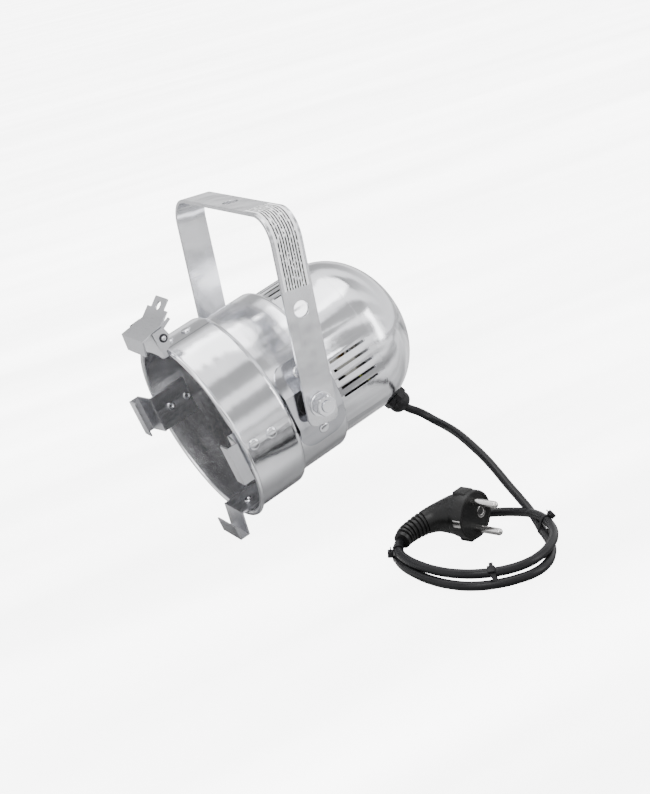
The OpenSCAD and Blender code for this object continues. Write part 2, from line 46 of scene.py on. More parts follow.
# ---- Driving dimensions of the part, in millimetres, as in its CAD source ----
BAIL_H = 131
REST_TILT = math.radians(13.7)
PIVOT_BACK = 61
FRONT_R, REAR_R = 67, 58
WALL = 0.8
FRONT_LEN, MIDDLE_LEN, REAR_LEN = 42, 82.5, 121
CAP_DEPTH = 47
SHOULDER_R = 4.5
GLAND_PSI, GLAND_T = math.radians(-70), 13
CORD_R = 3
SURFACE = -227.2
PLUG_R, GRIP_R = 16.2, 18.2
PLUG_MID = (156.5, 51.5, SURFACE + GRIP_R + 0.3)
PLUG_TURN = math.radians(18)
PLUG_LEN = 16
PIN_R, PIN_LEN, PIN_OUT = 2.4, 19, 9.5
EARTH_OUT, EARTH_R = 6, 4.2
ARM_OUT = 73.5
WASHER_T, WASHER_R, WASHER_BORE = 1.55, 8.5, 4.2
NUT_T, NUT_BORE = 6.5, 4.02
HEX_R = 13 / math.sqrt(3)
HINGE_BACK, HINGE_UP = 1.3, 78
EAR_OUT = 19.5
LABEL_HALF, LABEL_BORDER = 9.2, 1.1


# ---- Frames ----

# Housing: origin at the rim's centre, +Y to the rear
CAN = (
    Matrix.Translation((0, 0, -BAIL_H * MM))
    @ Matrix.Rotation(REST_TILT, 4, "X")
    @ Matrix.Translation((0, -PIVOT_BACK * MM, 0))
    @ Matrix.Scale(MM, 4)
)
gland_r = REAR_R * math.sqrt(1 - (GLAND_T / CAP_DEPTH) ** 2)
gland_lean = math.atan2(GLAND_T / CAP_DEPTH**2, gland_r / REAR_R**2)


def around(psi):
    """Turns a piece so that its +X points outwards at the angle psi round the housing."""
    return Matrix.Rotation(-psi, 4, "Y")


GLAND = (
    CAN
    @ around(GLAND_PSI)
    @ Matrix.Translation((gland_r, REAR_LEN + GLAND_T, 0))
    @ Matrix.Rotation(gland_lean, 4, "Z")
)
PLUG = (
    Matrix.Translation([v * MM for v in PLUG_MID])
    @ Matrix.Rotation(PLUG_TURN, 4, "Z")
    @ Matrix.Scale(MM, 4)
)


# ---- Camera ----

CAMERA_AT = (969.0, -438.9, 204.0)
CAMERA_RIGHT = Vector((0.4911, 0.8495, -0.1926))
CAMERA_UP = Vector((-0.1865, 0.3186, 0.9294))
LENS_MM = 72.5


def make_camera():
    right = CAMERA_RIGHT.normalized()
    back = right.cross(CAMERA_UP).normalized()
    up = back.cross(right)
    data = bpy.data.cameras.new("camera")
    data.sensor_width = 36
    data.lens = LENS_MM
    data.clip_start = 0.01
    data.clip_end = 50
    camera = bpy.data.objects.new("camera", data)
    bpy.context.scene.collection.objects.link(camera)
    turn = Matrix((right, up, back)).transposed().to_4x4()
    camera.matrix_world = Matrix.Translation(Vector(CAMERA_AT) * MM) @ turn
    bpy.context.scene.camera = camera


make_camera()


# ---- Node helpers for procedural materials ----

# Where the values of a noise mostly lie
NOISE_LOW, NOISE_HIGH = 0.3, 0.7
NEAR_BLACK = (0.02, 0.02, 0.022, 1)


def put(node, **values):
    """Sets a node's inputs by name, with _ for a space."""
    for key, value in values.items():
        node.inputs[key.replace("_", " ")].default_value = value


class Nodes:
    """A material's node tree, with short calls for the nodes that the finishes use."""

    def __init__(self, name):
        self.material = bpy.data.materials.new(name)
        self.material.use_nodes = True
        self.tree = self.material.node_tree
        self.shader = self.tree.nodes["Principled BSDF"]

    def add(self, kind, **values):
        node = self.tree.nodes.new(kind)
        for key, value in values.items():
            setattr(node, key, value)
        return node

    def link(self, source, target):
        self.tree.links.new(source, target)

    def set(self, **values):
        put(self.shader, **values)

    def coords(self, frame_matrix=None, scale=(1, 1, 1)):
        """Object coordinates in millimetres, turned into a frame and stretched by scale."""
        source = self.add("ShaderNodeTexCoord").outputs["Object"]
        if frame_matrix is not None:
            move = frame_matrix.inverted()
            turned = self.add("ShaderNodeMapping")
            put(turned, Location=move.to_translation(), Rotation=move.to_euler(), Scale=move.to_scale())
            self.link(source, turned.inputs["Vector"])
            source = turned.outputs["Vector"]
        else:
            scale = [s / MM for s in scale]
        stretch = self.add("ShaderNodeMapping")
        put(stretch, Scale=scale)
        self.link(source, stretch.inputs["Vector"])
        return stretch.outputs["Vector"]

    def noise(self, vector, scale, detail=3, rough=0.5):
        node = self.add("ShaderNodeTexNoise")
        put(node, Scale=scale, Detail=detail, Roughness=rough)
        self.link(vector, node.inputs["Vector"])
        return node.outputs["Fac"]

    def spread(self, value, start, end, low=0.0, high=1.0):
        """Maps start..end to low..high."""
        node = self.add("ShaderNodeMapRange")
        put(node, From_Min=start, From_Max=end, To_Min=low, To_Max=high)
        self.link(value, node.inputs["Value"])
        return node.outputs["Result"]

    def ramp(self, value, low, high):
        """Maps 0..1 noise to a range of numbers."""
        return self.spread(value, NOISE_LOW, NOISE_HIGH, low, high)

    def tint(self, value, low, high):
        """Maps 0..1 noise to a range of colours."""
        node = self.add("ShaderNodeValToRGB")
        node.color_ramp.elements[0].position = NOISE_LOW
        node.color_ramp.elements[0].color = (*low, 1)
        node.color_ramp.elements[1].position = NOISE_HIGH
        node.color_ramp.elements[1].color = (*high, 1)
        self.link(value, node.inputs["Fac"])
        return node.outputs["Color"]

    def bump(self, heights):
        """Chains bumps: a list of (height socket, strength, distance in metres)."""
        normal = None
        for height, strength, distance in heights:
            node = self.add("ShaderNodeBump")
            put(node, Strength=strength, Distance=distance)
            self.link(height, node.inputs["Height"])
            if normal is not None:
                self.link(normal, node.inputs["Normal"])
            normal = node.outputs["Normal"]
        self.link(normal, self.shader.inputs["Normal"])

    def maths(self, operation, a, b):
        """A math node on a socket and a socket or a number."""
        node = self.add("ShaderNodeMath", operation=operation)
        for socket, value in zip(node.inputs, (a, b)):
            if isinstance(value, (int, float)):
                socket.default_value = value
            else:
                self.link(value, socket)
        return node.outputs[0]

    def split(self, vector):
        """The X, Y and Z sockets of a vector."""
        node = self.add("ShaderNodeSeparateXYZ")
        self.link(vector, node.inputs["Vector"])
        return node.outputs

    def darken(self, mask, colour):
        """Darkens a colour where the mask is high."""
        mix = self.add("ShaderNodeMix", data_type="RGBA")
        self.link(mask, mix.inputs["Factor"])
        self.link(colour, mix.inputs[6])
        mix.inputs[7].default_value = NEAR_BLACK
        return mix.outputs[2]


# Scales the angle round the housing, to be of a size with its millimetres
ANGLE_SCALE = 10.0
# The seam of the front section: its angle and half its width as scaled angles, and its end
SEAM_AT, SEAM_HALF, SEAM_END = math.radians(82) * ANGLE_SCALE, 0.05, FRONT_LEN - SHOULDER_R
SEAM_STRENGTH = 0.75


def polar(nodes, vector):
    """Turns housing coordinates into (scaled angle, distance behind the rim)."""
    axes = nodes.split(vector)
    angle = nodes.maths("ARCTAN2", axes["Z"], axes["X"])
    join = nodes.add("ShaderNodeCombineXYZ")
    nodes.link(nodes.maths("MULTIPLY", angle, ANGLE_SCALE), join.inputs["X"])
    nodes.link(axes["Y"], join.inputs["Y"])
    return join.outputs["Vector"]


def seam_mask(nodes, ring):
    """High on a thin line along the front section, in coordinates from polar."""
    axes = nodes.split(ring)
    off = nodes.maths("ABSOLUTE", nodes.maths("SUBTRACT", axes["X"], SEAM_AT), 0.0)
    thin = nodes.maths("LESS_THAN", off, SEAM_HALF)
    front = nodes.maths("LESS_THAN", axes["Y"], SEAM_END)
    return nodes.maths("MULTIPLY", nodes.maths("MULTIPLY", thin, front), SEAM_STRENGTH)


def spun_metal(name, colour, rough, lines, waves, seam=False, rear_shade_share=None):
    """Metal turned on a lathe: fine rings round the axis and slow waves left by polishing.

    A seam is a thin dark line along the front section. With a share given, the colour shows the rings
    and fades to that share of itself by the rear section, where the slots are: painted shade inside.
    """
    n = Nodes(name)
    ring = polar(n, n.coords(CAN))
    stretched = n.add("ShaderNodeMapping")
    put(stretched, Scale=(1.2, 7, 1))
    n.link(ring, stretched.inputs["Vector"])
    fine = n.noise(stretched.outputs["Vector"], 1.3, 4, 0.6)
    place = n.coords(CAN)
    slow = n.noise(n.coords(CAN, (0.5, 1.6, 0.5)), 0.03, 2, 0.4)
    patch = n.noise(place, 0.02, 3, 0.55)
    scratch = n.noise(place, 0.5, 5, 0.7)
    n.set(Metallic=1.0)
    n.link(n.ramp(fine, rough * 0.8, rough * 1.3), n.shader.inputs["Roughness"])
    if rear_shade_share is None:
        colour_out = n.tint(patch, [0.8 * c for c in colour], colour)
    else:
        colour_out = n.tint(fine, [0.5 * c for c in colour], colour)
        # Painted shade: the inner face darkens from the front section towards the rear, down to the given
        # share of its colour
        fade = n.spread(n.split(place)["Y"], FRONT_LEN, MIDDLE_LEN, 0.0, 1 - rear_shade_share)
        colour_out = n.darken(fade, colour_out)
    if seam:
        colour_out = n.darken(seam_mask(n, ring), colour_out)
    n.link(colour_out, n.shader.inputs["Base Color"])
    n.bump([(slow, waves, 0.004), (scratch, 0.04, 0.0001), (fine, lines, 0.00005)])
    return n.material


def rolled_metal(name, colour, rough, along, grain=0.25, waves=0.15):
    """Rolled or brushed metal, with its grain along one direction of the part's frame."""
    n = Nodes(name)
    scale = [0.06 if i == along else 2.4 for i in range(3)]
    fine = n.noise(n.coords(scale=scale), 1.6, 4, 0.6)
    place = n.coords()
    slow = n.noise(place, 0.03, 2, 0.4)
    patch = n.noise(place, 0.05, 3, 0.5)
    n.set(Metallic=1.0)
    n.link(n.ramp(fine, rough * 0.8, rough * 1.25), n.shader.inputs["Roughness"])
    n.link(n.tint(patch, [0.92 * c for c in colour], colour), n.shader.inputs["Base Color"])
    n.bump([(slow, waves, 0.004), (fine, grain, 0.00004)])
    return n.material


def plated_metal(name, colour, rough):
    """Small bright parts: even metal with faint pits and handling marks."""
    n = Nodes(name)
    place = n.coords()
    mark = n.noise(place, 0.9, 4, 0.6)
    n.set(Metallic=1.0)
    n.link(n.ramp(mark, rough * 0.7, rough * 1.5), n.shader.inputs["Roughness"])
    n.link(n.tint(mark, [0.88 * c for c in colour], colour), n.shader.inputs["Base Color"])
    n.bump([(mark, 0.15, 0.0001)])
    return n.material


def moulded(name, low, high, rough, grain, size, shine=0.5):
    """Moulded plastic, rubber or ceramic with a fine skin."""
    n = Nodes(name)
    place = n.coords()
    skin = n.noise(place, size, 4, 0.6)
    cloud = n.noise(place, 0.08, 2, 0.5)
    n.set(Specular_IOR_Level=shine)
    n.link(n.ramp(cloud, rough * 0.85, rough * 1.15), n.shader.inputs["Roughness"])
    n.link(n.tint(cloud, low, high), n.shader.inputs["Base Color"])
    n.bump([(skin, grain, 0.0001)])
    return n.material


def paper_label():
    """White paper with rows of plain dark dashes along the arm."""
    n = Nodes("white_label")
    place = n.coords()
    wave = n.add("ShaderNodeTexWave", wave_type="BANDS", bands_direction="Y")
    put(wave, Scale=0.16, Distortion=0.0)
    n.link(place, wave.inputs["Vector"])
    fibre_noise = n.noise(place, 1.5, 4, 0.6)
    rules = n.spread(wave.outputs["Fac"], 0.32, 0.5)
    paper = n.tint(fibre_noise, (0.95, 0.95, 0.96), (0.99, 0.99, 1.0))
    dash = n.maths("GREATER_THAN", n.noise(n.coords(scale=(0.2, 0.9, 0.45)), 1.0, 1), 0.38)
    off_middle = n.maths("ABSOLUTE", n.split(place)["Y"], 0.0)
    inside = n.maths("LESS_THAN", off_middle, LABEL_HALF - LABEL_BORDER)
    ink = n.maths("MULTIPLY", n.maths("MULTIPLY", rules, dash), inside)
    n.link(n.darken(ink, paper), n.shader.inputs["Base Color"])
    n.set(Roughness=0.5)
    n.bump([(fibre_noise, 0.1, 0.00005)])
    return n.material


polished = spun_metal("polished_aluminium", (0.80, 0.805, 0.83), 0.12, 0.3, 0.22, seam=True)
polished_dome = spun_metal("polished_dome", (0.80, 0.805, 0.83), 0.11, 0.3, 0.35)
# A darker copy of the polished aluminium for the side plates: the darker colour is a painted dark
# reflection
plate_painted_dark = spun_metal("plate_painted_dark", (0.50, 0.505, 0.53), 0.10, 0.2, 0.6)
# Unpolished inner face, whose colour also carries painted shade that darkens it towards the rear
dull_inside_painted_shade = spun_metal("unpolished_inside_painted_shade", (0.88, 0.88, 0.90), 0.2, 1.2, 0.4, rear_shade_share=0.2)
satin = rolled_metal("satin_bail", (0.70, 0.705, 0.725), 0.22, 2, 0.15, 0.45)
sheet = rolled_metal("sheet_clips", (0.60, 0.605, 0.625), 0.32, 0, 0.3, 0.1)
zinc = plated_metal("zinc_plate", (0.74, 0.745, 0.77), 0.12)
spring_steel = plated_metal("spring_steel", (0.05, 0.05, 0.055), 0.35)
nickel = plated_metal("nickel_plate", (0.60, 0.59, 0.58), 0.16)
brass = plated_metal("brass", (0.70, 0.52, 0.26), 0.28)
fibre = moulded("dark_fibre", (0.05, 0.05, 0.05), (0.09, 0.09, 0.09), 0.75, 0.4, 2.0)
porcelain = moulded("porcelain", (0.66, 0.64, 0.58), (0.76, 0.74, 0.68), 0.38, 0.15, 0.8)
black_nylon = moulded("black_nylon", (0.006, 0.006, 0.007), (0.010, 0.010, 0.011), 0.42, 0.2, 1.6, 0.2)
rubber = moulded("black_rubber", (0.006, 0.006, 0.007), (0.009, 0.009, 0.010), 0.32, 0.04, 1.2, 0.2)
vinyl = moulded("black_vinyl", (0.005, 0.005, 0.005), (0.009, 0.009, 0.009), 0.38, 0.1, 1.0, 0.25)
# Near-black finish for the painted shade in the plug's earth hole
painted_hole_shade = moulded("painted_shade_in_hole", (0.002, 0.002, 0.002), (0.004, 0.004, 0.004), 0.8, 0.1, 1.0)
label_paper = paper_label()
sleeves = {
    "wire_live": moulded("sleeve_brown", (0.13, 0.05, 0.02), (0.18, 0.07, 0.03), 0.4, 0.1, 1.0),
    "wire_neutral": moulded("sleeve_blue", (0.02, 0.08, 0.35), (0.03, 0.11, 0.45), 0.4, 0.1, 1.0),
    "wire_earth": moulded("sleeve_green", (0.20, 0.32, 0.03), (0.50, 0.50, 0.04), 0.4, 0.1, 0.25),
}

FINISH = {
    "polished_aluminium": polished_dome,
    "satin_aluminium": sheet,
    "zinc_steel": zinc,
    "fibre": fibre,
    "spring_steel": spring_steel,
    "porcelain": porcelain,
    "brass": brass,
    "wire_brown": sleeves["wire_live"],
    "wire_blue": sleeves["wire_neutral"],
    "wire_green": sleeves["wire_earth"],
    "gland_plastic": black_nylon,
    "cord_rubber": rubber,
    "plug_plastic": vinyl,
    "nickel": nickel,
}
SLOT_OF = {s["node"]: s["material_slot"] for s in frame["record"]["subparts"]}
BODY_OF = {
    node: body for body, nodes in frame["record"]["behaviour"]["bodies"].items() for node in nodes
}


def paint(piece, material):
    piece.data.materials.clear()
    piece.data.materials.append(material)


for name, piece in frame["nodes"].items():
    paint(piece, satin if name == "bail" else FINISH[SLOT_OF[name]])


# ---- Making pieces ----

# Edges that turn by more than this are sharp, and refine breaks them
SHARP_ANGLE = math.radians(28)


def place(name, mesh, body, slot, materials, *nodes):
    """Adds a mesh as a piece that rides on a body and stands for CAD nodes."""
    piece = bpy.data.objects.new(name, mesh)
    bpy.context.scene.collection.objects.link(piece)
    for material in materials:
        mesh.materials.append(material)
    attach(piece, body)
    if nodes:
        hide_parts(*nodes)
    return piece


def smooth(mesh):
    for face in mesh.polygons:
        face.use_smooth = True
    mesh.set_sharp_from_angle(angle=SHARP_ANGLE)


def inside_dome(point):
    """True on the inner face of the dome, which is nearer its middle than the outer one."""
    radial = math.hypot(point.x, point.z) / (REAR_R - WALL / 2)
    behind = (point.y - REAR_LEN) / (CAP_DEPTH - WALL / 2)
    return radial**2 + behind**2 < 1


def refine(node, edge, material=None, inside=None):
    """Copies a CAD node with its edges broken by a small radius, and an inner finish."""
    bm = bmesh.new()
    bm.from_mesh(frame["nodes"][node].data)
    bmesh.ops.remove_doubles(bm, verts=bm.verts, dist=2e-6)
    bmesh.ops.dissolve_limit(
        bm, angle_limit=math.radians(0.8), verts=bm.verts, edges=bm.edges
    )
    inverse = CAN.inverted()
    if inside is not None:
        for face in bm.faces:
            middle = inverse @ face.calc_center_median()
            normal = inverse.to_3x3() @ face.normal
            out = Vector((middle.x, 0, middle.z))
            face.material_index = int(out.dot(normal) < -0.3 * out.length * normal.length)
            if middle.y > REAR_LEN and inside_dome(middle):
                face.material_index = 1
    mesh = bpy.data.meshes.new(node)
    bm.to_mesh(mesh)
    bm.free()
    smooth(mesh)
    finish = material or FINISH[SLOT_OF[node]]
    materials = [finish] if inside is None else [finish, inside]
    piece = place(node + "_piece", mesh, BODY_OF[node], SLOT_OF[node], materials, node)
    bevel = piece.modifiers.new("broken_edges", "BEVEL")
    bevel.width = edge * MM
    bevel.segments = 2
    bevel.limit_method = "ANGLE"
    bevel.angle_limit = SHARP_ANGLE
    bevel.harden_normals = True


def ring_mesh(name, rings, matrix, closed_loop=False):
    """Skins rings that have the same number of points; a ring of one point is a pole."""
    bm = bmesh.new()
    levels = [[bm.verts.new(matrix @ Vector(p)) for p in ring] for ring in rings]
    pairs = list(zip(levels, levels[1:]))
    if closed_loop:
        pairs.append((levels[-1], levels[0]))
    for low, high in pairs:
        count = max(len(low), len(high))
        for i in range(count):
            j = (i + 1) % count
            corners = [low[i % len(low)], low[j % len(low)], high[j % len(high)], high[i % len(high)]]
            bm.faces.new(list(dict.fromkeys(corners)))
    if not closed_loop:
        for level, turn in ((levels[0], -1), (levels[-1], 1)):
            if len(level) > 2:
                bm.faces.new(level[::turn])
    bmesh.ops.recalc_face_normals(bm, faces=bm.faces)
    mesh = bpy.data.meshes.new(name)
    bm.to_mesh(mesh)
    bm.free()
    smooth(mesh)
    return mesh


def lathe(name, profile, matrix, steps=72, closed_loop=False):
    """Turns a profile of (distance along +X, radius) round the X axis."""
    rings = []
    for x, r in profile:
        if r == 0:
            rings.append([(x, 0, 0)])
            continue
        angles = [2 * math.pi * i / steps for i in range(steps)]
        rings.append([(x, r * math.cos(a), r * math.sin(a)) for a in angles])
    return ring_mesh(name, rings, matrix, closed_loop)


def box_mesh(name, low, high, matrix, edge, segments=3):
    bm = bmesh.new()
    bmesh.ops.create_cube(bm, size=1)
    for vert in bm.verts:
        vert.co = [low[i] + (vert.co[i] + 0.5) * (high[i] - low[i]) for i in range(3)]
    bmesh.ops.bevel(bm, geom=bm.edges, offset=edge, segments=segments, profile=0.5, affect="EDGES")
    bm.transform(matrix)
    mesh = bpy.data.meshes.new(name)
    bm.to_mesh(mesh)
    bm.free()
    smooth(mesh)
    return mesh


def quarter(count):
    """Angles from 0 up to, but not at, a right angle."""
    return [math.pi / 2 * i / count for i in range(count)]


def catmull(points, count):
    """Points along a smooth line through the given ones; extra numbers are carried along."""
    ends = [points[0]] + list(points) + [points[-1]]
    out = []
    for i in range(1, len(ends) - 2):
        a, b, c, d = ends[i - 1 : i + 3]
        for k in range(count):
            t = k / count
            out.append(tuple(
                0.5 * (2 * q + (r - p) * t + (2 * p - 5 * q + 4 * r - s) * t**2
                       + (3 * q - p - 3 * r + s) * t**3)
                for p, q, r, s in zip(a, b, c, d)
            ))
    out.append(tuple(points[-1]))
    return out


def sweep(name, path, radii, matrix, steps, flat=1.0):
    """A closed tube along a path, with a radius at each point; flat squeezes it sideways."""
    side = None
    rings = []
    for i, here in enumerate(path):
        ahead = Vector(path[min(i + 1, len(path) - 1)])
        behind = Vector(path[max(i - 1, 0)])
        way = (ahead - behind).normalized()
        if side is None:
            side = way.orthogonal().normalized() if abs(way.z) > 0.9 else way.cross((0, 0, 1)).normalized()
        side = (side - way * side.dot(way)).normalized()
        up = side.cross(way)
        rings.append([
            Vector(here) + radii[i] * (
                flat * math.cos(2 * math.pi * k / steps) * side
                + math.sin(2 * math.pi * k / steps) * up)
            for k in range(steps)
        ])
    return ring_mesh(name, rings, matrix)


def join(name, meshes):
    """One mesh out of several that belong to one moulding or group."""
    bm = bmesh.new()
    for mesh in meshes:
        bm.from_mesh(mesh)
    joined = bpy.data.meshes.new(name)
    bm.to_mesh(joined)
    bm.free()
    smooth(joined)
    return joined


# ---- Sheet-metal pieces and turned housing ----

refine("bail", 0.35, satin)
refine("barrel", 0.15, polished, dull_inside_painted_shade)
refine("rear_cap", 0.15, polished_dome, dull_inside_painted_shade)
for part in ("plate_right", "plate_left"):
    refine(part, 0.6, plate_painted_dark)
for part in ("clip_right", "clip_left", "clip_bottom", "latch_bracket", "latch_gate", "holder_bar"):
    refine(part, 0.2, sheet)
for part in ("pivot_bolts", "lock_nuts", "holder_screws", "earth_screw", "latch_pin"):
    refine(part, 0.2)
for part in ("lampholder", "thread_shell", "centre_contact", "holder_terminals"):
    refine(part, 0.4)
for part in ("gland_body", "gland_nut", "friction_washers"):
    refine(part, 0.3)


# ---- Rivets, washers and nuts ----

def both_sides():
    """The tilt axis, with +X outwards, on the two sides."""
    return [CAN @ around(side) @ Matrix.Translation((0, PIVOT_BACK, 0)) for side in (0, math.pi)]


def hex_nut(name, matrix, low, high, bore):
    """A nut with turned corners at both ends and a broken bore edge at the outer one."""
    steps, chamfer = 96, 0.3
    flat = HEX_R * math.cos(math.pi / 6)
    face_r = flat * 0.97
    angles = [2 * math.pi * i / steps for i in range(steps)]
    corners = [flat / math.cos(angle % (math.pi / 3) - math.pi / 6) for angle in angles]
    backs = [(corner - face_r) * 0.55 + 0.1 for corner in corners]

    def ring(distances, radii):
        return [
            (x, r * math.cos(angle), r * math.sin(angle))
            for x, r, angle in zip(distances, radii, angles)
        ]

    def round_ring(x, r):
        return ring([x] * steps, [r] * steps)

    rings = [
        round_ring(low, face_r),
        ring([low + back for back in backs], corners),
        ring([high - back for back in backs], corners),
        round_ring(high, face_r),
        round_ring(high, bore + chamfer),
        round_ring(high - chamfer, bore),
        round_ring(low, bore),
        round_ring(low, bore + chamfer),
    ]
    return ring_mesh(name, rings, matrix, closed_loop=True)


def make_pivot_hardware():
    nuts, washers = [], []
    face = ARM_OUT + 0.05
    outside = face + WASHER_T
    washer = [
        (face, WASHER_BORE), (face, WASHER_R - 0.2), (face + 0.15, WASHER_R),
        (outside - 0.3, WASHER_R), (outside, WASHER_R - 0.3), (outside, WASHER_BORE),
    ]
    for matrix in both_sides():
        nuts.append(hex_nut("nut", matrix, outside, outside + NUT_T, NUT_BORE))
        washers.append(lathe("washer", washer, matrix, closed_loop=True))
    place("pivot_nuts_piece", join("pivot_nuts", nuts), "can", "zinc_steel", [zinc], "pivot_nuts")
    place("pivot_washers_piece", join("pivot_washers", washers), "can", "zinc_steel", [zinc],
          "pivot_washers")


def rivet(matrix, low, high):
    """A round-headed rivet: a rolled ring at low, the shank and a domed head at high."""
    shank_r, head_r, head_h = 1.6, 4, 1.4
    dome = [(high + head_h * math.sin(a), head_r * math.cos(a) ** 0.6) for a in quarter(10)]
    rolled = [
        (low - 0.2, 0), (low - 0.25, 0.9), (low - 0.95, 1.5), (low - 1.0, 2.0), (low - 0.9, 2.6),
        (low - 0.4, 3.0), (low, 2.9),
    ]
    shank = [(low, shank_r), (high, shank_r), (high, head_r - 0.15)]
    return lathe("rivet", rolled + shank + dome + [(high + head_h, 0)], matrix, 40)


# Inner and outer faces that the rivets of the clips and of the plates hold together
CLIP_RIVET_SPAN = (64.9, FRONT_R + 0.02)
PLATE_RIVET_SPAN = (61.6, 64.14)


def make_rivets():
    front, side = [], []
    for psi in (0, math.pi, -math.pi / 2, math.pi / 2):
        for back in (9.2, 23.3):
            at = CAN @ around(psi) @ Matrix.Translation((0, back, 0))
            front.append(rivet(at, *CLIP_RIVET_SPAN))
    for half in (0, math.pi):
        for lean in (-20.4, 20.4):
            at = CAN @ around(half + math.radians(lean)) @ Matrix.Translation((0, PIVOT_BACK, 0))
            side.append(rivet(at, *PLATE_RIVET_SPAN))
    place("clip_rivets_piece", join("clip_rivets", front), "can", "zinc_steel", [zinc], "clip_rivets")
    place("plate_rivets_piece", join("plate_rivets", side), "can", "zinc_steel", [zinc], "plate_rivets")


def make_star_washers():
    """Push-on washers with teeth bent up round the hinge pin."""
    steps, tooth_steps, rim_r, tooth_r, gap_r = 96, 6, 3.0, 1.65, 1.95
    matrix = CAN @ around(math.pi / 2) @ Matrix.Translation((HINGE_UP, HINGE_BACK, 0))
    washers = []
    for side in (-1, 1):
        rings = []
        for lift, on_rim in ((0, False), (0, True), (0.3, True), (0.6, False)):
            ring = []
            for i in range(steps):
                angle = 2 * math.pi * i / steps
                inner = tooth_r if (i // tooth_steps) % 2 else gap_r
                r = rim_r if on_rim else inner
                ring.append((r * math.cos(angle), r * math.sin(angle), side * (EAR_OUT + 0.02 + lift)))
            rings.append(ring)
        washers.append(ring_mesh("star", rings, matrix, closed_loop=True))
    place("latch_washers_piece", join("latch_washers", washers), "can", "spring_steel",
          [spring_steel], "latch_washers")


def make_spring():
    """Torsion spring: its turns and front leg stay on the housing, the other leg on the gate."""
    wire, mean, pitch, turns, per_turn = 0.45, 2.4, 0.99, 6, 24
    half = pitch * turns / 2
    back = HINGE_BACK - mean
    coil = []
    for i in range(per_turn * turns + 1):
        angle = 2 * math.pi * i / per_turn - math.pi / 2
        coil.append((HINGE_UP + mean * math.cos(angle), HINGE_BACK + mean * math.sin(angle),
                     pitch * i / per_turn - half))
    leg = [(HINGE_UP - 5.5, back - 0.9, -half), (HINGE_UP - 4, back, -half)]
    matrix = CAN @ around(math.pi / 2)
    still = sweep("spring", leg + coil, [wire] * (len(coil) + 2), matrix, 12)
    far = [(HINGE_UP + 0.2 * i, back, half) for i in range(25)]
    moving = sweep("leg", far, [wire] * len(far), matrix, 12)
    place("latch_spring_piece", still, "can", "spring_steel", [spring_steel], "latch_spring")
    place("latch_spring_leg", moving, "latch", "spring_steel", [spring_steel])


make_pivot_hardware()
make_rivets()
make_star_washers()
make_spring()


# ---- Label on the bail ----

def make_label():
    """A thin label on the bail's top, round the near bend and down the arm."""
    outer, thick, on_top, on_arm = 20, 0.03, 14.5, 31
    bend_x, bend_z = ARM_OUT - outer, -outer
    layers = (0.005, thick)
    rows = [[(bend_x - on_top * (1 - i / 4), t) for t in layers] for i in range(4)]
    for i in range(25):
        angle = math.radians(90 - 90 * i / 24)
        rows.append([(bend_x + (outer + t) * math.cos(angle), bend_z + (outer + t) * math.sin(angle))
                     for t in layers])
    for i in range(1, 9):
        z = bend_z - on_arm * i / 8
        rows.append([(ARM_OUT + t, z) for t in layers])
    rings = []
    for low, high in rows:
        rings.append([(low[0], -LABEL_HALF, low[1]), (low[0], LABEL_HALF, low[1]),
                      (high[0], LABEL_HALF, high[1]), (high[0], -LABEL_HALF, high[1])])
    mesh = ring_mesh("label", rings, Matrix.Scale(MM, 4))
    place("bail_label", mesh, "bail", "satin_aluminium", [label_paper])


make_label()


# ---- Plug ----

# Middle line and radius of the plug's bent shank: x, y, z, radius
BOOT_ROUTE = [
    (136.5, 5.5, -215, 5.8), (133.8, 11, -213.6, 6.7), (132.8, 18, -212.4, 7.3),
    (133, 27, -211, 8.2), (136, 35, -209.8, 9.9), (142.5, 42.5, -209, 13.2),
    (148.5, 47, -208.7, 14.8),
]
RIBS_FROM, RIBS_TO, RIB_PITCH = 2.5, 23, 3
GROOVE_W, GROOVE_DEPTH = 1.2, 1.3


def make_plug():
    parts = []
    route = catmull(BOOT_ROUTE, 16)
    path = [p[:3] for p in route]
    radii = []
    travelled = 0
    for i, point in enumerate(route):
        if i:
            travelled += (Vector(path[i]) - Vector(path[i - 1])).length
        ribbed = RIBS_FROM < travelled < RIBS_TO
        in_groove = (travelled - RIBS_FROM) % RIB_PITCH < GROOVE_W
        radii.append(point[3] - (GROOVE_DEPTH if ribbed and in_groove else 0))
    parts.append(sweep("shank", path, radii, Matrix.Scale(MM, 4), 40, 0.94))
    body = [(-PLUG_LEN + 2, 0), (-PLUG_LEN + 2, 11), (-PLUG_LEN + 2.6, 13.6), (-PLUG_LEN + 4.5, 15.4),
            (-PLUG_LEN + 8, 16.1), (-7, PLUG_R), (-1, PLUG_R), (-0.4, PLUG_R - 0.2),
            (0, PLUG_R - 0.7), (0, PLUG_R - 2), (-0.5, PLUG_R - 2.3), (-0.5, 0)]
    parts.append(lathe("body", body, PLUG, 96))
    for low, high in (((-13, -5, 12), (-2.5, 5, 16.9)), ((-13, -5, -GRIP_R), (-3, 5, -12))):
        parts.append(box_mesh("rib", low, high, PLUG, 1.4, 4))
    place("plug_body_piece", join("plug", parts), "can", "plug_plastic", [vinyl], "plug_body")


